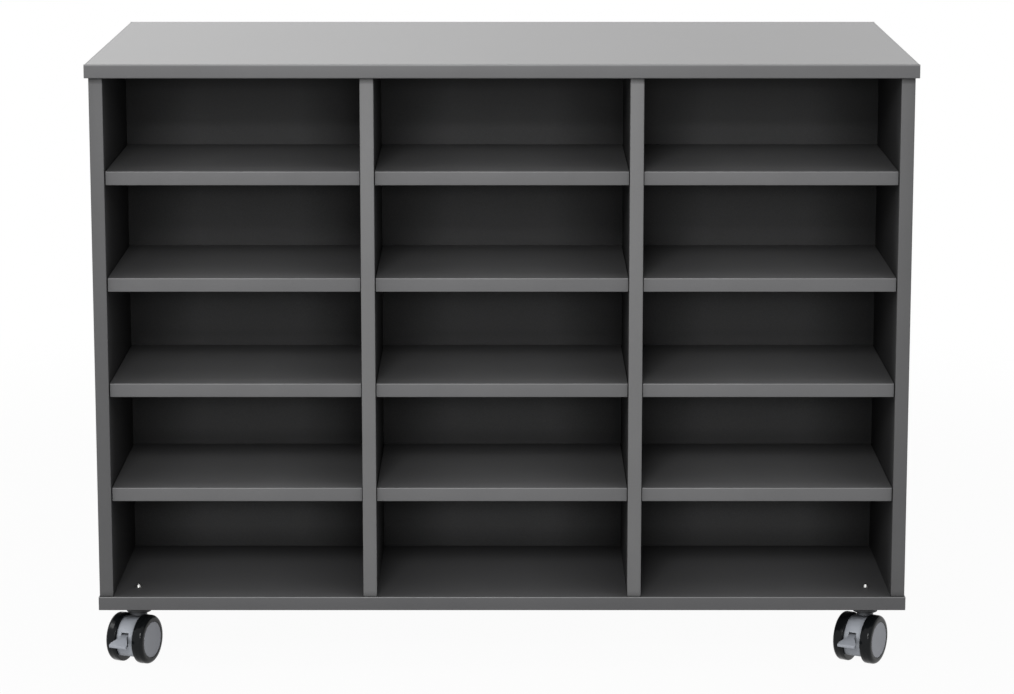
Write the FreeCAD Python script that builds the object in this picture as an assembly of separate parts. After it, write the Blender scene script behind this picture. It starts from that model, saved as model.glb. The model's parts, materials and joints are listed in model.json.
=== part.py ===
import FreeCAD, Part
import math
import os

from FreeCAD import Vector

# Mobile storage unit for tote trays: a carcass of laminated boards on four twin-wheel castors.
# Millimetres. The origin is on the floor under the middle of the top.
# X runs along the front, Y from the front to the rear and Z up.

# Carcass
board = 18.0                    # thickness of the carcass boards and the shelves
back_board = 6.0                # thickness of the boards that close the compartments
opening_width = 332.0           # clear width of a compartment
compartment_depth = 279.0       # from the front of the uprights to the back board
bottom_opening = 129.0          # clear height of the lowest compartments
opening_height = 122.5          # clear height of the compartments above
rows = 5
top_overhang = 5.0              # top past the uprights, on all four sides
base_overhang = 1.5             # base past the uprights, on all four sides
groove_depth = 5.0              # grooves in the uprights that hold the back boards
groove_end_gap = 0.5            # left free at the bottom of each groove

# Edge strips
strip = 2.0                     # thickness of the strip glued to each visible board edge
strip_arris = 1.0               # chamfer along both outer edges of a strip

# Shelves and their supports
shelf_side_gap = 1.0
shelf_setback = 6.0             # shelf edge behind the edges of the uprights
shelf_rear_gap = 1.0
support_reach = 10.0            # how far a support carries the shelf
support_height = 9.0
support_width = 8.0
support_inset = 60.0            # support behind the shelf edge, and before the back board

# Joining biscuits between the uprights and the top and base
biscuit_length = 56.0
biscuit_width = 23.0
biscuit_thickness = 4.0
biscuit_point = 11.0            # length of each pointed end
biscuit_inset = 130.0           # from the edge of the upright to the middle of a biscuit

# Castors
castor_side_inset = 46.0        # swivel axis from the outer face of the end panel
castor_edge_inset = 54.0        # swivel axis from the front or rear edge of the uprights
front_left_turn = 22.0          # rest angle of each castor about its swivel axis, in degrees
front_right_turn = 29.0
rear_left_turn = 20.0
rear_right_turn = 38.0
trail = 14.5                    # axle ahead of the swivel axis
wheel_diameter = 66.0
wheel_width = 13.8
tread_width = 10.4              # flat part of the tread
shoulder_width = 2.1            # first slope of the shoulder, beside the tread
shoulder_drop = 0.9
hub_face_diameter = 60.4        # where the second slope of the shoulder ends
hub_cap_diameter = 48.0
hub_cap_thickness = 1.2
wheel_side_gap = 0.5            # between the housing and each wheel
axle_diameter = 6.0
axle_clearance = 0.05           # radial, in the wheels
housing_width = 23.5
tread_reveal = 3.5              # tread past the curve of the housing
housing_floor_gap = 13.0        # flat bottom of the housing above the floor
neck_diameter = 22.0
swivel_gap = 0.3                # between the neck and the collar
wheel_top_gap = 1.0             # between the wheels and the collar
collar_diameter = 33.0
collar_height = 15.0
kingpin_diameter = 9.0
kingpin_clearance = 0.05        # radial, in the neck
kingpin_depth = 18.5            # how far the kingpin goes into the neck
kingpin_end_gap = 0.5
stud_diameter = 10.0            # end of the stem that goes through the base
stud_height = 4.0               # stud above the base

# Brake levers of the front castors
pivot_inset = 10.5              # pivot behind the curve of the housing, level with the axle
pivot_rise = 8.0                # pivot above the axle
trunnion_diameter = 4.0
trunnion_length = 3.0           # trunnion on each side of the lever
trunnion_clearance = 0.08       # radial, in the housing
trunnion_end_gap = 0.3
root_diameter = 8.0             # round root of the lever about its pivot
root_width = 10.0
knuckle_reach = 7.5             # where the upper face bends down, ahead of the pivot
knuckle_rise = 2.0              # and above it
knee_reach = 12.0               # where the lower face bends, ahead of the pivot
knee_drop = 10.0                # and below it
lever_projection = 16.0         # lip past the tread
lip_rise = 1.0                  # top of the lip above the axle
lip_thickness = 3.5
lip_width = 24.5
lip_length = 5.0                # straight sides of the lip
flare_gap = 2.5                 # flare starts this far outside the housing
pocket_side_gap = 0.4           # lever pocket in the housing, beside the lever
pocket_end_gap = 1.0            # and above and behind its root
pocket_drop = 5.5               # bottom of the pocket below the axle

# Sizes that follow from those above
columns = ("left", "centre", "right")
pitch = opening_width + board
body_width = len(columns) * pitch + board
body_depth = 2 * compartment_depth + back_board
inner_height = bottom_opening + (rows - 1) * (opening_height + board)
castor_height = wheel_diameter + wheel_top_gap + collar_height
base_top = castor_height + board
top_underside = base_top + inner_height
wheel_radius = wheel_diameter / 2
housing_radius = wheel_radius - tread_reveal
neck_top = castor_height - collar_height - swivel_gap
wheel_start = housing_width / 2 + wheel_side_gap
wheel_end = wheel_start + wheel_width
tread_end = wheel_start + tread_width
pivot_forward = housing_radius - pivot_inset

x_axis = Vector(1, 0, 0)
y_axis = Vector(0, 1, 0)
z_axis = Vector(0, 0, 1)


def block(x_range, y_range, z_range):
    low = Vector(min(x_range), min(y_range), min(z_range))
    high = Vector(max(x_range), max(y_range), max(z_range))
    size = high - low
    return Part.makeBox(size.x, size.y, size.z, low)


def prism(points, along):
    return Part.Face(Part.makePolygon(points + points[:1])).extrude(along)


def turned(profile, centre, axis):
    # A solid of revolution from a closed outline.
    return Part.Face(Part.makePolygon(profile + profile[:1])).revolve(centre, axis, 360)


def edge_strip(corner, along, outward, across):
    # A strip on a board edge: across spans the thickness of the board, outward leaves the edge.
    outline = (
        (0, 0),
        (strip - strip_arris, 0),
        (strip, strip_arris),
        (strip, board - strip_arris),
        (strip - strip_arris, board),
        (0, board),
    )
    points = [corner + outward * out + across * up for out, up in outline]
    return prism(points, along)


def framed_board(overhang, z_low):
    # The core of the top or the base, and the four strips round it.
    half_x = body_width / 2 + overhang
    half_y = body_depth / 2 + overhang
    core_x = half_x - strip
    core_y = half_y - strip
    core = block((-core_x, core_x), (-core_y, core_y), (z_low, z_low + board))
    strips = []
    for side in (-1, 1):
        long_corner = Vector(-half_x, side * core_y, z_low)
        strips.append(edge_strip(long_corner, x_axis * 2 * half_x, y_axis * side, z_axis))
        short_corner = Vector(side * core_x, -core_y, z_low)
        strips.append(edge_strip(short_corner, y_axis * 2 * core_y, x_axis * side, z_axis))
    return core, strips


def upright_x(index):
    return -body_width / 2 + index * pitch


def upright(index):
    # An end panel or a partition, grooved on each side that faces a compartment.
    x_low = upright_x(index)
    x_high = x_low + board
    core_y = body_depth / 2 - strip
    span = (base_top, top_underside)
    core = block((x_low, x_high), (-core_y, core_y), span)
    groove_y = (-back_board / 2, back_board / 2)
    if index > 0:
        core = core.cut(block((x_low, x_low + groove_depth), groove_y, span))
    if index < len(columns):
        core = core.cut(block((x_high - groove_depth, x_high), groove_y, span))
    strips = []
    for side in (-1, 1):
        corner = Vector(x_low, side * core_y, base_top)
        strips.append(edge_strip(corner, z_axis * inner_height, y_axis * side, x_axis))
    return core, strips


def biscuit(index, side, z):
    # A flat tenon with pointed ends, half in the upright and half in the board above or below.
    middle = Vector(
        upright_x(index) + (board - biscuit_thickness) / 2,
        side * (body_depth / 2 - biscuit_inset),
        z,
    )
    tip = biscuit_length / 2
    shoulder = tip - biscuit_point
    half = biscuit_width / 2
    outline = (
        (-tip, 0),
        (-shoulder, -half),
        (shoulder, -half),
        (tip, 0),
        (shoulder, half),
        (-shoulder, half),
    )
    points = [middle + y_axis * y + z_axis * z for y, z in outline]
    return prism(points, x_axis * biscuit_thickness)


def back_panel(column):
    reach = groove_depth - groove_end_gap
    x_low = upright_x(column) + board - reach
    x_high = upright_x(column + 1) + reach
    return block((x_low, x_high), (-back_board / 2, back_board / 2), (base_top, top_underside))


def shelf_underside(level):
    return base_top + bottom_opening + level * (opening_height + board)


def shelf(column, level, side):
    # A loose shelf with a strip on its visible edge; side is -1 at the front and 1 at the rear.
    x_low = upright_x(column) + board + shelf_side_gap
    x_high = upright_x(column + 1) - shelf_side_gap
    z_low = shelf_underside(level)
    edge_y = side * (body_depth / 2 - shelf_setback - strip)
    rear_y = side * (back_board / 2 + shelf_rear_gap)
    core = block((x_low, x_high), (edge_y, rear_y), (z_low, z_low + board))
    corner = Vector(x_low, edge_y, z_low)
    return core, edge_strip(corner, x_axis * (x_high - x_low), y_axis * side, z_axis)


def shelf_supports(column, level, side):
    # Four wedge-shaped supports under one shelf.
    z_top = shelf_underside(level)
    near_back = back_board / 2 + support_inset
    near_edge = body_depth / 2 - shelf_setback - support_inset
    walls = ((upright_x(column) + board, 1), (upright_x(column + 1), -1))
    supports = []
    for wall_x, inward in walls:
        for y in (near_back, near_edge):
            start = Vector(wall_x, side * y - support_width / 2, z_top)
            points = [
                start,
                start + x_axis * inward * support_reach,
                start - z_axis * support_height,
            ]
            supports.append(prism(points, y_axis * support_width))
    return supports


def on_axle(forward=0.0, up=0.0, x=0.0):
    # A point of an unturned castor, measured from the middle of its axle.
    return Vector(x, -trail - forward, wheel_radius + up)


def wheel(side):
    # A tyre moulded on its core: a flat tread with a shoulder of two slopes on the outside.
    bore = axle_diameter / 2 + axle_clearance
    profile = (
        (wheel_start, bore),
        (wheel_start, wheel_radius),
        (tread_end, wheel_radius),
        (tread_end + shoulder_width, wheel_radius - shoulder_drop),
        (wheel_end, hub_face_diameter / 2),
        (wheel_end, bore),
    )
    points = [on_axle(up=radius, x=side * x) for x, radius in profile]
    return turned(points, on_axle(), x_axis)


def hub_cap(side):
    start = on_axle(x=side * wheel_end)
    return Part.makeCylinder(hub_cap_diameter / 2, hub_cap_thickness, start, x_axis * side)


def axle():
    return Part.makeCylinder(axle_diameter / 2, 2 * wheel_end, on_axle(x=-wheel_end), x_axis)


def stem():
    # The kingpin that the castor swivels on, and the stud that screws into the base.
    kingpin = kingpin_diameter / 2
    stud = stud_diameter / 2
    stud_top = base_top + stud_height
    profile = (
        (0, neck_top - kingpin_depth),
        (kingpin, neck_top - kingpin_depth),
        (kingpin, castor_height),
        (stud, castor_height),
        (stud, stud_top),
        (0, stud_top),
    )
    points = [Vector(radius, 0, z) for radius, z in profile]
    return turned(points, Vector(), z_axis)


def collar():
    # The dust collar between the base and the neck of the castor.
    bottom = Vector(0, 0, castor_height - collar_height)
    ring = Part.makeCylinder(collar_diameter / 2, collar_height, bottom)
    return ring.cut(Part.makeCylinder(kingpin_diameter / 2, collar_height, bottom))


def housing(braked):
    # The moulded body between the wheels: round about the axle, flat below, with a neck on top.
    drop = housing_floor_gap - wheel_radius
    half_chord = math.sqrt(housing_radius ** 2 - drop ** 2)
    side = -housing_width / 2
    front = on_axle(half_chord, drop, side)
    rear = on_axle(-half_chord, drop, side)
    curve = Part.Arc(front, on_axle(0, housing_radius, side), rear).toShape()
    outline = Part.Wire([curve, Part.makeLine(rear, front)])
    body = Part.Face(outline).extrude(x_axis * housing_width)
    neck = Part.makeCylinder(neck_diameter / 2, neck_top - wheel_radius, Vector(0, 0, wheel_radius))
    body = body.fuse(neck).removeSplitter()
    bore_radius = kingpin_diameter / 2 + kingpin_clearance
    bore_depth = kingpin_depth + kingpin_end_gap
    bore = Part.makeCylinder(bore_radius, bore_depth, Vector(0, 0, neck_top - bore_depth))
    body = body.cut(bore).cut(axle())
    if braked:
        body = body.cut(lever_pocket())
    return body


def lever_pocket():
    # The slot in the front of the housing that the lever swings in, with its two pivot holes.
    half = root_width / 2 + pocket_side_gap
    back = pivot_forward - root_diameter / 2 - pocket_end_gap
    top = pivot_rise + root_diameter / 2 + pocket_end_gap
    inner = on_axle(back, top)
    outer = on_axle(wheel_radius, -pocket_drop)
    slot = block((-half, half), (inner.y, outer.y), (inner.z, outer.z))
    reach = root_width / 2 + trunnion_length + trunnion_end_gap
    start = on_axle(pivot_forward, pivot_rise, -reach)
    holes = Part.makeCylinder(trunnion_diameter / 2 + trunnion_clearance, 2 * reach, start, x_axis)
    return slot.fuse(holes)


def lever_side():
    # The lever seen from the side, as wide as its lip.
    side = -lip_width / 2
    lip_reach = wheel_radius + lever_projection
    root = root_diameter / 2
    top = on_axle(pivot_forward, pivot_rise + root, side)
    back = on_axle(pivot_forward - root, pivot_rise, side)
    bottom = on_axle(pivot_forward, pivot_rise - root, side)
    bends = [
        bottom,
        on_axle(pivot_forward + knee_reach, pivot_rise - knee_drop, side),
        on_axle(lip_reach, lip_rise - lip_thickness, side),
        on_axle(lip_reach, lip_rise, side),
        on_axle(pivot_forward + knuckle_reach, pivot_rise + knuckle_rise, side),
        top,
    ]
    edges = [Part.makeLine(start, end) for start, end in zip(bends, bends[1:])]
    edges.append(Part.Arc(top, back, bottom).toShape())
    return Part.Face(Part.Wire(edges)).extrude(x_axis * lip_width)


def lever_plan():
    # The lever seen from above: a narrow root that flares to the lip.
    root = root_width / 2
    lip = lip_width / 2
    lip_reach = wheel_radius + lever_projection
    below = -wheel_radius
    half_outline = (
        (0.0, root),
        (housing_radius + flare_gap, root),
        (lip_reach - lip_length, lip),
        (lip_reach, lip),
    )
    right = [on_axle(forward, below, x) for forward, x in half_outline]
    left = [on_axle(forward, below, -x) for forward, x in reversed(half_outline)]
    return prism(right + left, z_axis * wheel_diameter)


def brake_lever():
    reach = root_width / 2 + trunnion_length
    start = on_axle(pivot_forward, pivot_rise, -reach)
    trunnions = Part.makeCylinder(trunnion_diameter / 2, 2 * reach, start, x_axis)
    return lever_side().common(lever_plan()).fuse(trunnions).removeSplitter()


def placed(shape, x, y, turn):
    shape = shape.copy()
    shape.rotate(Vector(), z_axis, -turn)
    shape.translate(Vector(x, y, 0))
    return shape


def carcass():
    nodes = {}
    top, top_strips = framed_board(top_overhang, top_underside)
    base, carcass_strips = framed_board(base_overhang, castor_height)
    names = ("end_panel_left", "partition_left", "partition_right", "end_panel_right")
    biscuits = []
    for index, name in enumerate(names):
        core, strips = upright(index)
        carcass_strips += strips
        for side in (-1, 1):
            upper = biscuit(index, side, top_underside)
            lower = biscuit(index, side, base_top)
            top = top.cut(upper)
            base = base.cut(lower)
            core = core.cut(upper).cut(lower)
            biscuits += [upper, lower]
        nodes[name] = core
    for x, y in castor_places().values():
        base = base.cut(placed(stem(), x, y, 0))
    nodes["top_panel"] = top
    nodes["base_panel"] = base
    nodes["top_edge_strips"] = Part.makeCompound(top_strips)
    nodes["carcass_edge_strips"] = Part.makeCompound(carcass_strips)
    nodes["joint_biscuits"] = Part.makeCompound(biscuits)
    for column, name in enumerate(columns):
        nodes["back_panel_" + name] = back_panel(column)
    return nodes


def shelves():
    nodes = {}
    strips = []
    supports = []
    for level in range(rows - 1):
        rear_row = []
        for column, name in enumerate(columns):
            front_shelf, front_strip = shelf(column, level, -1)
            rear_shelf, rear_strip = shelf(column, level, 1)
            nodes[f"front_shelf_{name}_{level + 1}"] = front_shelf
            rear_row.append(rear_shelf)
            strips += [front_strip, rear_strip]
            supports += shelf_supports(column, level, -1) + shelf_supports(column, level, 1)
        nodes[f"rear_shelves_row_{level + 1}"] = Part.makeCompound(rear_row)
    nodes["shelf_edge_strips"] = Part.makeCompound(strips)
    nodes["shelf_supports"] = Part.makeCompound(supports)
    return nodes


def castor_places():
    x = body_width / 2 - castor_side_inset
    y = body_depth / 2 - castor_edge_inset
    return {
        "front_left": (-x, -y),
        "front_right": (x, -y),
        "rear_left": (-x, y),
        "rear_right": (x, y),
    }


def castors():
    nodes = {}
    stems = []
    collars = []
    turns = (front_left_turn, front_right_turn, rear_left_turn, rear_right_turn)
    for (name, (x, y)), turn in zip(castor_places().items(), turns):
        braked = name.startswith("front")
        pieces = {"castor_housing": housing(braked), "castor_axle": axle()}
        for side, side_name in ((-1, "left"), (1, "right")):
            pieces[side_name + "_wheel"] = wheel(side)
            pieces[side_name + "_hub_cap"] = hub_cap(side)
        if braked:
            pieces["brake_lever"] = brake_lever()
        for piece, shape in pieces.items():
            nodes[f"{name}_{piece}"] = placed(shape, x, y, turn)
        stems.append(placed(stem(), x, y, turn))
        collars.append(placed(collar(), x, y, turn))
    nodes["castor_stems"] = Part.makeCompound(stems)
    nodes["castor_collars"] = Part.makeCompound(collars)
    return nodes


def main():
    os.makedirs("parts", exist_ok=True)
    nodes = {**carcass(), **shelves(), **castors()}
    for name, shape in nodes.items():
        shape.exportStep(f"parts/{name}.step")
    print(len(nodes), "nodes")


main()
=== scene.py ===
import json
import math

import bmesh
import bpy
from mathutils import Matrix, Vector


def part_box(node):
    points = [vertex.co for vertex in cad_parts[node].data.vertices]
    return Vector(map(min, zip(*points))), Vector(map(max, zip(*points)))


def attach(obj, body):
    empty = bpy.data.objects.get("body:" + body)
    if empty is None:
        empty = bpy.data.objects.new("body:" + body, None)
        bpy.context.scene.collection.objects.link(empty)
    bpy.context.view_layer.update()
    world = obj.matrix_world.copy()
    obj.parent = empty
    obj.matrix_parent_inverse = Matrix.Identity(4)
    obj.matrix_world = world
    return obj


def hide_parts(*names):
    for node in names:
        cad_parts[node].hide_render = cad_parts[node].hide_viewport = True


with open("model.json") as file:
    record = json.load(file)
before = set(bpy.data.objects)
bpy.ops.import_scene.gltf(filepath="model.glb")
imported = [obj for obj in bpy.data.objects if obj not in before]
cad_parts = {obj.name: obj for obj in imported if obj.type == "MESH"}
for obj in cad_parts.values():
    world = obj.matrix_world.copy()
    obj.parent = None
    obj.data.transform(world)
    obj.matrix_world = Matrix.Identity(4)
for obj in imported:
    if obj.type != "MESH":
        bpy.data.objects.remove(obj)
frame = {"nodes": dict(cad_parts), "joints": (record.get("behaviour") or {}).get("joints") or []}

# Tote tray storage unit: laminated boards, edge strips and twin-wheel castors. Metres.
scene = bpy.context.scene
nodes = frame["nodes"]
joints = {joint["name"]: joint for joint in frame["joints"]}
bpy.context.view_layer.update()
mm = 0.001
castorNames = ("front_left", "front_right", "rear_left", "rear_right")
print("frame loaded,", len(nodes), "nodes")


# View and light

view = {
    "lens": 123.27,
    "sensor": 36.0,                           # its width, in mm like the lens
    "place": (0.00656, -4.74631, 1.29364),
    "lookDown": 0.18941,                      # radians below level
}

surround = {
    "light": 0.50,                            # what the pieces are lit by
    "seen": 1.0,                              # what the view sees
    "gloss": (1.0, 0.80),                     # what the gloss sees, at the left and at the right
    "glossSpan": (-0.10, 0.05),               # sideways part of a direction, between which it changes
}

floorLook = {
    "reach": 30.0,
    "colour": (0.62, 0.62, 0.62),
    "white": 0.96,                            # share of plain white near the unit, the rest takes shadow
    "fadeFrom": 1.1,                          # all white further out
    "fadeTo": 2.4,
}

lamps = {
    "keyLamp": {"place": (-0.5, -4.2, 2.45), "aim": (0, -0.28, 0.4), "size": (1.0, 0.8), "power": 70},
    "frontLamp": {"place": (0.1, -4.6, 1.35), "aim": (0, -0.28, 0.4), "size": (0.8, 0.4), "power": 20},
    "sideLamp": {"place": (-2.4, -0.5, 2.1), "aim": (0, -0.2, 0.3), "size": (0.7, 1.2), "power": 13},
}


def addCamera():
    data = bpy.data.cameras.new("view")
    data.sensor_fit = "HORIZONTAL"
    data.sensor_width = view["sensor"]
    data.lens = view["lens"]
    camera = bpy.data.objects.new("view", data)
    camera.location = view["place"]
    camera.rotation_euler = (math.pi / 2 - view["lookDown"], 0, 0)
    scene.collection.objects.link(camera)
    scene.camera = camera


def feed(tree, socket, value):
    # a link from another node, or a plain value
    if isinstance(value, bpy.types.NodeSocket):
        tree.links.new(value, socket)
    else:
        socket.default_value = value


def addNode(tree, kind, settings=None, **inputs):
    node = tree.nodes.new(kind)
    for name, value in (settings or {}).items():
        setattr(node, name, value)
    for name, value in inputs.items():
        feed(tree, node.inputs[name], value)
    return node


def mathNode(tree, operation, first, second):
    node = addNode(tree, "ShaderNodeMath", {"operation": operation})
    for socket, value in zip(node.inputs, (first, second)):
        feed(tree, socket, value)
    return node.outputs[0]


def seenDirectly(tree):
    # 1 for the view itself, for gloss and for clear materials
    path = addNode(tree, "ShaderNodeLightPath")
    share = mathNode(tree, "MAXIMUM", path.outputs["Is Camera Ray"], path.outputs["Is Glossy Ray"])
    return mathNode(tree, "MAXIMUM", share, path.outputs["Is Transmission Ray"])


def mixShaders(tree, share, first, second):
    mix = addNode(tree, "ShaderNodeMixShader")
    tree.links.new(share, mix.inputs[0])
    tree.links.new(first.outputs[0], mix.inputs[1])
    tree.links.new(second.outputs[0], mix.inputs[2])
    return mix


def addSurround():
    world = bpy.data.worlds.new("surround")
    world.use_nodes = True
    tree = world.node_tree
    tree.nodes.clear()
    direction = addNode(tree, "ShaderNodeTexCoord").outputs["Generated"]
    sideways = addNode(tree, "ShaderNodeSeparateXYZ", Vector=direction).outputs["X"]
    glossStrength = spread(tree, sideways, *surround["glossSpan"], *surround["gloss"])
    lit = addNode(tree, "ShaderNodeBackground", Strength=surround["light"])
    gloss = addNode(tree, "ShaderNodeBackground", Strength=glossStrength)
    seen = addNode(tree, "ShaderNodeBackground", Strength=surround["seen"])
    for background in (lit, gloss, seen):
        background.inputs["Color"].default_value = (1, 1, 1, 1)
    path = addNode(tree, "ShaderNodeLightPath")
    straight = mathNode(tree, "MAXIMUM", path.outputs["Is Camera Ray"], path.outputs["Is Transmission Ray"])
    mix = mixShaders(tree, path.outputs["Is Glossy Ray"], lit, gloss)
    mix = mixShaders(tree, straight, mix, seen)
    out = addNode(tree, "ShaderNodeOutputWorld")
    tree.links.new(mix.outputs[0], out.inputs["Surface"])
    scene.world = world


def floorFinish():
    finish = bpy.data.materials.new("paleFloor")
    finish.use_nodes = True
    tree = finish.node_tree
    tree.nodes.clear()
    pale = addNode(tree, "ShaderNodeBsdfDiffuse", Color=(*floorLook["colour"], 1))
    white = addNode(tree, "ShaderNodeEmission", Color=(1, 1, 1, 1), Strength=1.0)
    place = addNode(tree, "ShaderNodeTexCoord").outputs["Object"]
    distance = addNode(tree, "ShaderNodeVectorMath", {"operation": "LENGTH"})
    tree.links.new(place, distance.inputs[0])
    fade = addNode(tree, "ShaderNodeMapRange", {"interpolation_type": "SMOOTHSTEP"})
    tree.links.new(distance.outputs["Value"], fade.inputs["Value"])
    fade.inputs["From Min"].default_value = floorLook["fadeFrom"]
    fade.inputs["From Max"].default_value = floorLook["fadeTo"]
    fade.inputs["To Min"].default_value = floorLook["white"]
    share = mathNode(tree, "MULTIPLY", seenDirectly(tree), fade.outputs[0])
    mix = mixShaders(tree, share, pale, white)
    out = addNode(tree, "ShaderNodeOutputMaterial")
    tree.links.new(mix.outputs[0], out.inputs["Surface"])
    return finish


def addFloor():
    reach = floorLook["reach"]
    mesh = bpy.data.meshes.new("floor")
    corners = [(-reach, -reach, 0), (reach, -reach, 0), (reach, reach, 0), (-reach, reach, 0)]
    mesh.from_pydata(corners, [], [(0, 1, 2, 3)])
    mesh.materials.append(floorFinish())
    floor = bpy.data.objects.new("floor", mesh)
    scene.collection.objects.link(floor)


def addLamps():
    for name, lamp in lamps.items():
        data = bpy.data.lights.new(name, "AREA")
        data.shape = "RECTANGLE"
        data.size, data.size_y = lamp["size"]
        data.energy = lamp["power"]
        light = bpy.data.objects.new(name, data)
        light.location = lamp["place"]
        aim = Vector(lamp["aim"]) - light.location
        light.rotation_euler = aim.to_track_quat("-Z", "Y").to_euler()
        light.visible_camera = False
        scene.collection.objects.link(light)


# Finishes

boardLook = {
    "colour": (0.115, 0.115, 0.117),
    "clouds": 0.05,                           # how far the colour wanders, as a share
    "cloudScale": 7.0,                        # per metre
    "flecks": 0.10,
    "grainScale": 900.0,
    "roughness": (0.42, 0.52),
    "bump": 0.10,
    "bumpDepth": 0.06 * mm,
    "gloss": 0.2,
    "corners": 0.95,                          # painted shade: how much darker it is deep in an inner corner
    "paintedShadeReach": 0.16,
    "paintedShadePower": 1.6,
}

# lighter copy of the board laminate for the backs, its grey raised against the painted corner shade and the
# dim compartments: painted light
backLook = {
    **boardLook,
    "colour": (0.180, 0.180, 0.183),
    "gloss": 0.1,
    "paintedShadeReach": 0.10,
    "paintedShadePower": 2.5,
    "paintedShadeTilt": 0.4,                        # the painted shade looks upwards, so that the shelf below darkens it less
}
# lighter copy of the board laminate for the shelves, with painted shade towards the walls and the back
shelfLook = {
    **boardLook,
    "colour": (0.183, 0.183, 0.186),
    "gloss": 0.3,
    "corners": 0.8,
    "paintedShadeReach": 0.13,
    "paintedShadePower": 1.0,
}
# darker copy of the shelf finish on the same laminate, for the base: painted shade
baseLook = {**shelfLook, "colour": (0.132, 0.132, 0.135)}
# slightly lighter copy of the board laminate for the top: painted light
topLook = {
    **boardLook,
    "colour": (0.125, 0.125, 0.128),
    "roughness": (0.22, 0.29),
    "gloss": 0.5,
    "coat": 0.30,                             # clear overlay of the laminate
    "coatRoughness": 0.25,
    "corners": 0.0,
}

stripLook = {
    "colour": (0.143, 0.143, 0.146),
    "clouds": 0.04,
    "cloudScale": 12.0,
    "flecks": 0.08,
    "grainScale": 1300.0,
    "roughness": (0.45, 0.55),
    "bump": 0.08,
    "bumpDepth": 0.05 * mm,
    "gloss": 0.3,
}

arrisHighlightLook = {**stripLook, "colour": (0.24, 0.24, 0.243), "roughness": (0.30, 0.40)}   # painted highlight: a lighter copy of the edging on the rounded upper edges
# copies of one edging in different greys, set to how the light falls at each place: painted light and
# shade, partition strips lighter, base and end strips darker
baseStripLook = {**stripLook, "colour": (0.104, 0.104, 0.107)}
# painted shadow on the upright strips under the overhang of the top, from ambient occlusion of short reach
uprightLook = {**stripLook, "corners": 0.9, "paintedShadeReach": 0.008, "paintedShadePower": 5.0}
endStripLook = {**uprightLook, "colour": (0.106, 0.106, 0.108)}
partitionStripLook = {**uprightLook, "colour": (0.166, 0.166, 0.168)}

# castor plastic, its grey set lighter than the plastic's own to make up for the shade under the base:
# painted light
castorLook = {
    "colour": (0.456, 0.482, 0.528),
    "clouds": 0.05,
    "cloudScale": 40.0,
    "flecks": 0.07,
    "grainScale": 2200.0,
    "roughness": (0.40, 0.50),
    "bump": 0.14,
    "bumpDepth": 0.05 * mm,
    "gloss": 0.45,
    # painted shade in the gaps and hollows of the castors
    "corners": 0.9,
    "paintedShadeReach": 0.018,
    "paintedShadePower": 1.0,
}

# darker copy of the castor plastic for the lever, which the side lamp lights more: painted shade
leverShadedLook = {**castorLook, "colour": (0.365, 0.385, 0.425)}
# painted shade: a near-black copy of the castor plastic for the collars under the base
collarShadeLook = {**castorLook, "colour": (0.050, 0.053, 0.058)}

hubCapLook = {
    "colour": (0.275, 0.286, 0.318),
    "clouds": 0.04,
    "cloudScale": 40.0,
    "flecks": 0.06,
    "grainScale": 2600.0,
    "roughness": (0.36, 0.46),
    "bump": 0.10,
    "bumpDepth": 0.04 * mm,
    "gloss": 0.45,
}

supportLook = {
    "colour": (0.035, 0.035, 0.037),
    "clouds": 0.06,
    "cloudScale": 60.0,
    "flecks": 0.10,
    "grainScale": 2000.0,
    "roughness": (0.42, 0.55),
    "bump": 0.15,
    "bumpDepth": 0.05 * mm,
    "gloss": 0.4,
}

tyreLook = {
    "colour": (0.0065, 0.0075, 0.0085),
    "clouds": 0.12,
    "cloudScale": 55.0,
    "flecks": 0.15,
    "grainScale": 1600.0,
    "roughness": (0.10, 0.18),
    "bump": 0.08,
    "bumpDepth": 0.04 * mm,
    "gloss": 0.15,
}


stipple = {
    "middle": (0.3, 0.7),                     # where most values of the noise lie
    "fleck": (0.56, 0.70),                    # where grain turns into a fleck
    "cloudDetail": 3.0,
    "grainDetail": 2.0,
    "paintedShadeSamples": 8,
}


def noise(tree, place, scale, detail):
    node = addNode(tree, "ShaderNodeTexNoise", Vector=place, Scale=scale, Detail=detail)
    return node.outputs[0]


def spread(tree, value, fromLow, fromHigh, toLow, toHigh):
    node = addNode(tree, "ShaderNodeMapRange")
    for socket, number in zip(node.inputs, (value, fromLow, fromHigh, toLow, toHigh)):
        feed(tree, socket, number)
    return node.outputs[0]


def mixColours(tree, share, first, second):
    mix = addNode(tree, "ShaderNodeMix", {"data_type": "RGBA"})
    sockets = {socket.identifier: socket for socket in mix.inputs}
    tree.links.new(share, sockets["Factor_Float"])
    for name, colour in (("A_Color", first), ("B_Color", second)):
        if isinstance(colour, bpy.types.NodeSocket):
            tree.links.new(colour, sockets[name])
        else:
            sockets[name].default_value = (*colour, 1)
    return next(socket for socket in mix.outputs if socket.identifier == "Result_Color")


def shade(colour, share):
    return tuple(channel * share for channel in colour)


def bumped(tree, height, look):
    bump = addNode(tree, "ShaderNodeBump", Height=height)
    bump.inputs["Strength"].default_value = look["bump"]
    bump.inputs["Distance"].default_value = look["bumpDepth"]
    return bump.outputs["Normal"]


def newFinish(name):
    finish = bpy.data.materials.new(name)
    finish.use_nodes = True
    tree = finish.node_tree
    return finish, tree, tree.nodes["Principled BSDF"]


def tilted(tree, tilt):
    # the surface's own direction, tilted upwards, for the painted corner shade
    facing = addNode(tree, "ShaderNodeNewGeometry").outputs["Normal"]
    raised = addNode(tree, "ShaderNodeVectorMath", {"operation": "ADD"})
    tree.links.new(facing, raised.inputs[0])
    raised.inputs[1].default_value = (0, 0, tilt)
    unit = addNode(tree, "ShaderNodeVectorMath", {"operation": "NORMALIZE"})
    tree.links.new(raised.outputs[0], unit.inputs[0])
    return unit.outputs[0]


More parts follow.
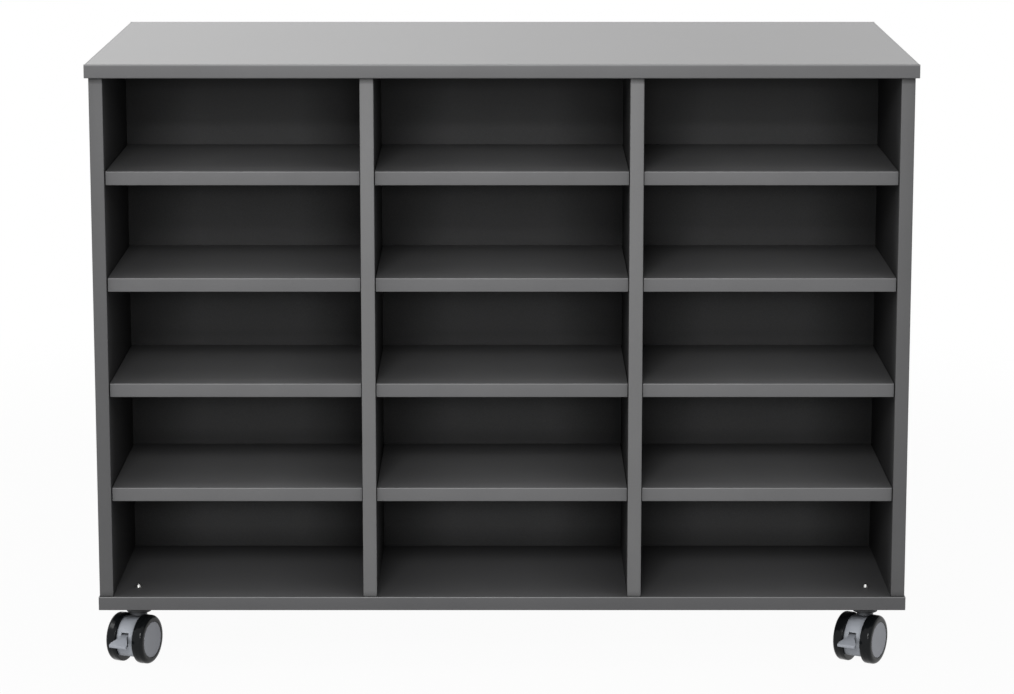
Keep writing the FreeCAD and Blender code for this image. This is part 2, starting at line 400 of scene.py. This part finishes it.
def stippled(name, look):
    # board foil, moulded plastic or rubber: soft clouds, fine flecks and a fine stipple, and painted shade
    # in inner corners where the look asks for it
    finish, tree, shader = newFinish(name)
    place = addNode(tree, "ShaderNodeTexCoord").outputs["Object"]
    clouds = noise(tree, place, look["cloudScale"], stipple["cloudDetail"])
    clouds = spread(tree, clouds, *stipple["middle"], 0.0, 1.0)
    grain = noise(tree, place, look["grainScale"], stipple["grainDetail"])
    colour = look["colour"]
    base = mixColours(tree, clouds, shade(colour, 1 - look["clouds"]), shade(colour, 1 + look["clouds"]))
    flecks = spread(tree, grain, *stipple["fleck"], 0.0, 1.0)
    base = mixColours(tree, flecks, base, shade(colour, 1 + look["flecks"]))
    # painted shade: the colour darkens where ambient occlusion finds surfaces nearby, in inner corners,
    # gaps and under overhangs
    if look.get("corners"):
        samples = {"samples": stipple["paintedShadeSamples"]}
        clear = addNode(tree, "ShaderNodeAmbientOcclusion", samples, Distance=look["paintedShadeReach"])
        if look.get("paintedShadeTilt"):
            tree.links.new(tilted(tree, look["paintedShadeTilt"]), clear.inputs["Normal"])
        share = mathNode(tree, "POWER", clear.outputs["AO"], look["paintedShadePower"])
        base = mixColours(tree, share, shade(colour, 1 - look["corners"]), base)
    tree.links.new(base, shader.inputs["Base Color"])
    rough = spread(tree, grain, *stipple["middle"], *look["roughness"])
    tree.links.new(rough, shader.inputs["Roughness"])
    tree.links.new(bumped(tree, grain, look), shader.inputs["Normal"])
    shader.inputs["Specular IOR Level"].default_value = look["gloss"]
    if look.get("coat"):
        shader.inputs["Coat Weight"].default_value = look["coat"]
        shader.inputs["Coat Roughness"].default_value = look["coatRoughness"]
    return finish


steelLook = {
    "dark": (0.60, 0.60, 0.59),
    "light": (0.74, 0.74, 0.72),
    "roughness": (0.28, 0.42),
    "grainScale": 700.0,
    "grainDetail": 4.0,
    "bump": 0.10,
    "bumpDepth": 0.03 * mm,
}


def platedSteel():
    finish, tree, shader = newFinish("platedSteel")
    place = addNode(tree, "ShaderNodeTexCoord").outputs["Object"]
    grain = noise(tree, place, steelLook["grainScale"], steelLook["grainDetail"])
    share = spread(tree, grain, *stipple["middle"], 0.0, 1.0)
    colour = mixColours(tree, share, steelLook["dark"], steelLook["light"])
    tree.links.new(colour, shader.inputs["Base Color"])
    rough = spread(tree, grain, *stipple["middle"], *steelLook["roughness"])
    tree.links.new(rough, shader.inputs["Roughness"])
    tree.links.new(bumped(tree, grain, steelLook), shader.inputs["Normal"])
    shader.inputs["Metallic"].default_value = 1.0
    return finish


beechLook = {
    "dark": (0.36, 0.20, 0.10),
    "light": (0.56, 0.36, 0.20),
    "ringScale": 220.0,
    "ringWave": 3.0,                          # how far the rings wander
    "fleckScale": 900.0,
    "fleckDetail": 3.0,
    "span": (0.1, 0.6),                       # of rings and flecks together, from dark to light
    "roughness": 0.7,
    "bump": 0.25,
    "bumpDepth": 0.1 * mm,
}


def beechWood():
    finish, tree, shader = newFinish("beechWood")
    place = addNode(tree, "ShaderNodeTexCoord").outputs["Object"]
    rings = addNode(tree, "ShaderNodeTexWave", Vector=place, Scale=beechLook["ringScale"])
    rings.inputs["Distortion"].default_value = beechLook["ringWave"]
    flecks = noise(tree, place, beechLook["fleckScale"], beechLook["fleckDetail"])
    grain = mathNode(tree, "MULTIPLY", rings.outputs["Fac"], flecks)
    share = spread(tree, grain, *beechLook["span"], 0.0, 1.0)
    colour = mixColours(tree, share, beechLook["dark"], beechLook["light"])
    tree.links.new(colour, shader.inputs["Base Color"])
    tree.links.new(bumped(tree, grain, beechLook), shader.inputs["Normal"])
    shader.inputs["Roughness"].default_value = beechLook["roughness"]
    return finish


finishes = {
    "laminated_board": stippled("laminatedBoard", boardLook),
    "laminated_back": stippled("laminatedBack", backLook),
    "laminated_shelf": stippled("laminatedShelf", shelfLook),
    "laminated_base": stippled("laminatedBase", baseLook),
    "laminated_top": stippled("laminatedTop", topLook),
    "edge_strip": stippled("edgeStrip", stripLook),
    "painted_arris_highlight": stippled("paintedArrisHighlight", arrisHighlightLook),
    "base_strip": stippled("baseStrip", baseStripLook),
    "end_strip": stippled("endStrip", endStripLook),
    "partition_strip": stippled("partitionStrip", partitionStripLook),
    "beech_biscuit": beechWood(),
    "support_plastic": stippled("supportPlastic", supportLook),
    "plated_steel": platedSteel(),
    "castor_plastic": stippled("castorPlastic", castorLook),
    "lever_shaded_plastic": stippled("leverShadedPlastic", leverShadedLook),
    "collar_painted_shade": stippled("collarPaintedShade", collarShadeLook),
    "tyre_rubber": stippled("tyreRubber", tyreLook),
    "hub_cap_plastic": stippled("hubCapPlastic", hubCapLook),
}
print("finishes made,", len(finishes))


# Mesh helpers

meshDetail = {
    "turns": 96,                              # faces round a turned piece
    "sharp": math.radians(35),                # an edge that bends more is a sharp one
    "flat": math.radians(0.5),                # faces that bend less are one face
    "samePoint": 0.001 * mm,
    "sameSize": 0.01 * mm,
}


def addPiece(name, bm, slot, body, *replaced, dressed=None):
    # dressed names the finishes where they aren't just the slot's own
    bmesh.ops.recalc_face_normals(bm, faces=bm.faces)
    mesh = bpy.data.meshes.new(name)
    bm.to_mesh(mesh)
    bm.free()
    mesh.shade_smooth()
    mesh.set_sharp_from_angle(angle=meshDetail["sharp"])
    for finish in dressed or (slot,):
        mesh.materials.append(finishes[finish])
    piece = bpy.data.objects.new(name, mesh)
    scene.collection.objects.link(piece)
    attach(piece, body)
    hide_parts(*replaced)


def dressNode(name, finish):
    mesh = nodes[name].data
    mesh.materials.clear()
    mesh.materials.append(finishes[finish])


def filleted(corners, steps):
    # an outline of (x, y, radius) corners, each rounded by its radius, apart from both ends
    points = []
    for index, (x, y, radius) in enumerate(corners):
        if radius == 0 or index in (0, len(corners) - 1):
            points.append((x, y))
            continue
        here = Vector((x, y))
        before = (Vector(corners[index - 1][:2]) - here).normalized()
        after = (Vector(corners[index + 1][:2]) - here).normalized()
        half = before.angle(after) / 2
        centre = here + (before + after).normalized() * radius / math.sin(half)
        start = here + before * radius / math.tan(half) - centre
        end = here + after * radius / math.tan(half) - centre
        startAngle = math.atan2(start.y, start.x)
        sweep = math.atan2(end.y, end.x) - startAngle
        sweep = (sweep + math.pi) % (2 * math.pi) - math.pi
        for step in range(steps + 1):
            angle = startAngle + sweep * step / steps
            points.append((centre.x + radius * math.cos(angle), centre.y + radius * math.sin(angle)))
    return points


def bridge(bm, first, second):
    # faces between two rings, triangles where one ring is a single point
    for index in range(len(first)):
        after = (index + 1) % len(first)
        quad = [first[index], first[after], second[after], second[index]]
        corners = list(dict.fromkeys(quad))
        if len(corners) > 2:
            bm.faces.new(corners)


def addTurned(bm, outline, place, turns=meshDetail["turns"], closed=False):
    # an outline of (along, radius) points turned about the x axis of place
    rings = []
    for along, radius in outline:
        if radius < meshDetail["samePoint"]:
            rings.append([bm.verts.new(place @ Vector((along, 0, 0)))] * turns)
            continue
        ring = []
        for turn in range(turns):
            angle = 2 * math.pi * turn / turns
            point = Vector((along, radius * math.cos(angle), radius * math.sin(angle)))
            ring.append(bm.verts.new(place @ point))
        rings.append(ring)
    for first, second in zip(rings, rings[1:]):
        bridge(bm, first, second)
    if closed:
        bridge(bm, rings[-1], rings[0])


def solidBoxes(node):
    # lowest and highest corners of each separate solid in a node
    bm = bmesh.new()
    bm.from_mesh(nodes[node].data)
    bmesh.ops.remove_doubles(bm, verts=bm.verts, dist=meshDetail["samePoint"])
    for vert in bm.verts:
        vert.tag = False
    boxes = []
    for first in bm.verts:
        if first.tag:
            continue
        first.tag = True
        waiting = [first]
        low, high = first.co.copy(), first.co.copy()
        while waiting:
            vert = waiting.pop()
            for axis in range(3):
                low[axis] = min(low[axis], vert.co[axis])
                high[axis] = max(high[axis], vert.co[axis])
            for edge in vert.link_edges:
                other = edge.other_vert(vert)
                if not other.tag:
                    other.tag = True
                    waiting.append(other)
        boxes.append((low, high))
    bm.free()
    return boxes


def roundEdges(bm, edges, width, segments):
    bmesh.ops.bevel(
        bm, geom=edges, offset=width, offset_type="OFFSET", segments=segments,
        profile=0.5, affect="EDGES", clamp_overlap=True,
    )


def roundedCopy(node, shape):
    # a node's own shape with its sharp edges rounded
    bm = bmesh.new()
    bm.from_mesh(nodes[node].data)
    bmesh.ops.remove_doubles(bm, verts=bm.verts, dist=meshDetail["samePoint"])
    bmesh.ops.dissolve_limit(bm, angle_limit=meshDetail["flat"], verts=bm.verts, edges=bm.edges)
    inner = [edge for edge in bm.edges if len(edge.link_faces) == 2]
    sharp = [edge for edge in inner if edge.calc_face_angle() > meshDetail["sharp"]]
    roundEdges(bm, sharp, shape["edge"], shape["segments"])
    return bm


# Boards, as they come from the frame

boardFinishes = {
    "top_panel": "laminated_top",
    "base_panel": "laminated_base",
    "front_shelf_": "laminated_shelf",
    "rear_shelves_": "laminated_shelf",
    "back_panel_": "laminated_back",
    "end_panel_": "laminated_board",
    "partition_": "laminated_board",
    "joint_biscuits": "beech_biscuit",
}


def dressBoards():
    for start, finish in boardFinishes.items():
        for name in nodes:
            if name.startswith(start):
                dressNode(name, finish)
    print("boards dressed")


# Edge strips

stripShape = {
    "arris": 1.0 * mm,                        # rounding along both outer edges
    "topArris": 1.8 * mm,
    "steps": 6,
    "endRound": 0.35 * mm,                    # rounding of the cut ends
    "endSegments": 2,
    "flat": 0.995,                            # a face that looks up this much is not on a rounded edge
}


def addStrip(bm, low, high, arris):
    size = high - low
    thin, wide, along = sorted(range(3), key=lambda axis: size[axis])
    outward = 1 if low[thin] + high[thin] > 0 else -1
    inner = low[thin] if outward > 0 else high[thin]
    corners = (
        (0, 0, 0),
        (size[thin], 0, arris),
        (size[thin], size[wide], arris),
        (0, size[wide], 0),
    )
    outline = filleted(corners, stripShape["steps"])
    ends = []
    for end in (low[along], high[along]):
        ring = []
        for out, across in outline:
            point = Vector()
            point[thin] = inner + outward * out
            point[wide] = low[wide] + across
            point[along] = end
            ring.append(bm.verts.new(point))
        ends.append(ring)
    bridge(bm, *ends)
    caps = [bm.faces.new(ring) for ring in ends]
    return [edge for cap in caps for edge in cap.edges]


def addStripPiece(name, node, boxes, arris, *dressed):
    # a second finish, where there is one, goes on the rounded upper edges: a painted highlight
    bm = bmesh.new()
    endEdges = []
    for low, high in boxes:
        endEdges += addStrip(bm, low, high, arris)
    bmesh.ops.recalc_face_normals(bm, faces=bm.faces)
    for face in bm.faces:
        isHighlit = 1 - stripShape["flat"] < face.normal.z < stripShape["flat"]
        face.material_index = len(dressed) - 1 if isHighlit else 0
    roundEdges(bm, endEdges, stripShape["endRound"], stripShape["endSegments"])
    addPiece(name, bm, "edge_strip", "cabinet", node, dressed=dressed)


def stripPlace(low, high):
    # which boards of the carcass a strip belongs to, for its lighter or darker painted-light copy of the
    # edging: one that lies flat is on the base
    baseLow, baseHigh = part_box("base_panel")
    if high.z - low.z < 2 * (baseHigh.z - baseLow.z):
        return "base_strip"
    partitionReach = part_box("partition_right")[1].x + mm
    return "partition_strip" if abs(low.x + high.x) / 2 < partitionReach else "end_strip"


def makeStrips():
    arris = stripShape["arris"]
    top, shelves, carcass = "top_edge_strips", "shelf_edge_strips", "carcass_edge_strips"
    dressed = ("edge_strip", "painted_arris_highlight")
    addStripPiece("rounded_" + top, top, solidBoxes(top), stripShape["topArris"], *dressed)
    addStripPiece("rounded_" + shelves, shelves, solidBoxes(shelves), arris, *dressed)
    groups = {}
    for low, high in solidBoxes(carcass):
        groups.setdefault(stripPlace(low, high), []).append((low, high))
    for place, boxes in groups.items():
        dressed = (place, "painted_arris_highlight") if place == "base_strip" else (place,)
        addStripPiece(f"rounded_{place}s", carcass, boxes, arris, *dressed)
    print("edge strips made")


# Shelf supports

supportShape = {"edge": 0.7 * mm, "segments": 2}


def makeSupports():
    bm = roundedCopy("shelf_supports", supportShape)
    addPiece("moulded_shelf_supports", bm, "support_plastic", "cabinet", "shelf_supports")
    print("shelf supports made")


# Castors

housingShape = {"edge": 0.9 * mm, "segments": 3}
leverShape = {"edge": 0.8 * mm, "segments": 3}

wheelShape = {
    "innerEdge": 1.4 * mm,                    # rounding beside the housing
    "shoulder": 5.2 * mm,
    "rimEdge": 0.5 * mm,                      # where the side of the tyre meets the hub cap
    "rimGap": 0.3 * mm,
    "ridge": (0.5 * mm, 0.12 * mm),           # mould line round the tread, width and height
    "ridgeAt": 0.42,                          # share of the tread width
    "steps": 6,
}

hubCapShape = {
    "edge": 0.6 * mm,
    "border": 1.6 * mm,                       # raised border
    "dish": 0.25 * mm,                        # face below the border
    "dishEdge": 0.2 * mm,
    "relief": 0.1 * mm,                       # inside, clear of the end of the axle
    "steps": 4,
}

collarShape = {
    "bottomEdge": 0.6 * mm,
    "topEdge": 0.5 * mm,
    "groove": (0.8 * mm, 0.6 * mm),           # width and depth
    "grooveAt": 4.5 * mm,                     # its upper side, from the bottom
    "grooveEdge": 0.2 * mm,
    "steps": 5,
}

stemShape = {
    "edge": 0.5 * mm,
    "end": ((0.06, 0.98), (0.10, 0.88), (0.88, 0.56), (0.96, 0.36)),   # shares of the height and the radius
    "endEdge": 0.15 * mm,
    "steps": 3,
    "turns": 48,
}


def axleFrame(castor):
    # x along the axle, y to the rear of the castor, z up, from the middle of the axle
    joint = joints[castor + "_right_wheel_spin"]
    along = Vector(joint["axis"]).normalized()
    up = Vector((0, 0, 1))
    place = Matrix((along, up.cross(along), up)).transposed().to_4x4()
    place.translation = Vector(joint["pos_m"])
    return place


def axleSizes(node, place, side):
    # (distance along the axle, radius) of each vertex of a turned node
    back = place.inverted()
    points = [back @ vert.co for vert in nodes[node].data.vertices]
    return [(side * point.x, math.hypot(point.y, point.z)) for point in points]


def makeWheel(castor, sideName, side):
    place = axleFrame(castor)
    node = f"{castor}_{sideName}_wheel"
    cap = f"{castor}_{sideName}_hub_cap"
    sizes = axleSizes(node, place, side)
    start = min(along for along, radius in sizes)
    end = max(along for along, radius in sizes)
    tread = max(radius for along, radius in sizes)
    bore = min(radius for along, radius in sizes)
    treadEnd = max(along for along, radius in sizes if radius > tread - meshDetail["sameSize"])
    capSizes = axleSizes(cap, place, side)
    capStart = min(along for along, radius in capSizes)
    capEnd = max(along for along, radius in capSizes)
    capRadius = max(radius for along, radius in capSizes)

    ridgeWidth, ridgeHeight = wheelShape["ridge"]
    ridgeAt = start + (treadEnd - start) * wheelShape["ridgeAt"]
    rim = capRadius + wheelShape["rimGap"]
    corners = [
        (start, bore, 0),
        (start, tread - ridgeHeight, wheelShape["innerEdge"]),
        (ridgeAt - ridgeWidth, tread - ridgeHeight, 0),
        (ridgeAt, tread, 0),
        (ridgeAt + ridgeWidth, tread - ridgeHeight, 0),
        (capEnd, tread - ridgeHeight, wheelShape["shoulder"]),
        (capEnd, rim, wheelShape["rimEdge"]),
        (end, rim, 0),
        (end, bore, 0),
    ]
    outline = [(side * along, radius) for along, radius in filleted(corners, wheelShape["steps"])]
    bm = bmesh.new()
    addTurned(bm, outline, place, closed=True)
    addPiece(f"{node}_tyre", bm, "tyre_rubber", f"{castor}_castor_{sideName}_wheel", node)

    border = capRadius - hubCapShape["border"]
    corners = [
        (capStart + hubCapShape["relief"], 0, 0),
        (capStart + hubCapShape["relief"], bore, 0),
        (capStart, bore, 0),
        (capStart, capRadius, 0),
        (capEnd, capRadius, hubCapShape["edge"]),
        (capEnd, border, hubCapShape["dishEdge"]),
        (capEnd - hubCapShape["dish"], border - hubCapShape["dish"], hubCapShape["dishEdge"]),
        (capEnd - hubCapShape["dish"], 0, 0),
    ]
    outline = [(side * along, radius) for along, radius in filleted(corners, hubCapShape["steps"])]
    bm = bmesh.new()
    addTurned(bm, outline, place)
    addPiece(f"{cap}_disc", bm, "hub_cap_plastic", f"{castor}_castor_{sideName}_wheel", cap)


def makeCastors():
    for castor in castorNames:
        housing = castor + "_castor_housing"
        bm = roundedCopy(housing, housingShape)
        addPiece(f"{housing}_shell", bm, "castor_plastic", castor + "_castor", housing)
        dressNode(castor + "_castor_axle", "plated_steel")
        for sideName, side in (("left", -1), ("right", 1)):
            makeWheel(castor, sideName, side)
        lever = castor + "_brake_lever"
        if lever in nodes:
            bm = roundedCopy(lever, leverShape)
            dressed = ("lever_shaded_plastic",)
            addPiece(f"{lever}_pedal", bm, "castor_plastic", castor + "_brake", lever, dressed=dressed)
    print("castors made,", len(castorNames))


def uprightFrame(low, high):
    # x up, from the middle of the bottom of an upright turned solid
    place = Matrix(((0, 0, 1), (1, 0, 0), (0, 1, 0))).transposed().to_4x4()
    place.translation = Vector(((low.x + high.x) / 2, (low.y + high.y) / 2, low.z))
    return place


def kingpinRadius():
    # the narrow lower end of a stem
    points = [vert.co for vert in nodes["castor_stems"].data.vertices]
    bottom = min(point.z for point in points)
    ends = [point for point in points if point.z < bottom + meshDetail["sameSize"]]
    low, high = solidBoxes("castor_stems")[0]
    middle = (low + high) / 2
    near = [math.hypot(point.x - middle.x, point.y - middle.y) for point in ends]
    return max(distance for distance in near if distance < high.x - low.x)


def makeCollars():
    bm = bmesh.new()
    bore = kingpinRadius()
    width, depth = collarShape["groove"]
    at = collarShape["grooveAt"]
    grooveEdge = collarShape["grooveEdge"]
    for low, high in solidBoxes("castor_collars"):
        radius = (high.x - low.x) / 2
        height = high.z - low.z
        corners = [
            (0, bore, 0),
            (0, radius, collarShape["bottomEdge"]),
            (at - width, radius, grooveEdge),
            (at - width, radius - depth, grooveEdge),
            (at, radius - depth, grooveEdge),
            (at, radius, grooveEdge),
            (height, radius, collarShape["topEdge"]),
            (height, bore, 0),
        ]
        addTurned(bm, filleted(corners, collarShape["steps"]), uprightFrame(low, high), closed=True)
    # the collars get the near-black painted-shade copy of the castor plastic
    dressed = ("collar_painted_shade",)
    addPiece("moulded_castor_collars", bm, "castor_plastic", "cabinet", "castor_collars", dressed=dressed)
    print("collars made")


def makeStems():
    bm = bmesh.new()
    kingpin = kingpinRadius()
    baseLow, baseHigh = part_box("base_panel")
    for low, high in solidBoxes("castor_stems"):
        stud = (high.x - low.x) / 2
        shoulder = baseLow.z - low.z
        foot = baseHigh.z - low.z
        rise = high.z - baseHigh.z
        corners = [
            (0, 0, 0),
            (0, kingpin, stemShape["edge"]),
            (shoulder, kingpin, 0),
            (shoulder, stud, 0),
            (foot, stud, 0),
        ]
        for up, out in stemShape["end"]:
            corners.append((foot + rise * up, stud * out, stemShape["endEdge"]))
        corners.append((corners[-1][0], 0, 0))
        outline = filleted(corners, stemShape["steps"])
        addTurned(bm, outline, uprightFrame(low, high), turns=stemShape["turns"])
    addPiece("riveted_castor_stems", bm, "plated_steel", "cabinet", "castor_stems")
    print("stems made")


addCamera()
addSurround()
addFloor()
addLamps()
dressBoards()
makeStrips()
makeSupports()
makeCastors()
makeCollars()
makeStems()
scene.view_settings.view_transform = "Standard"
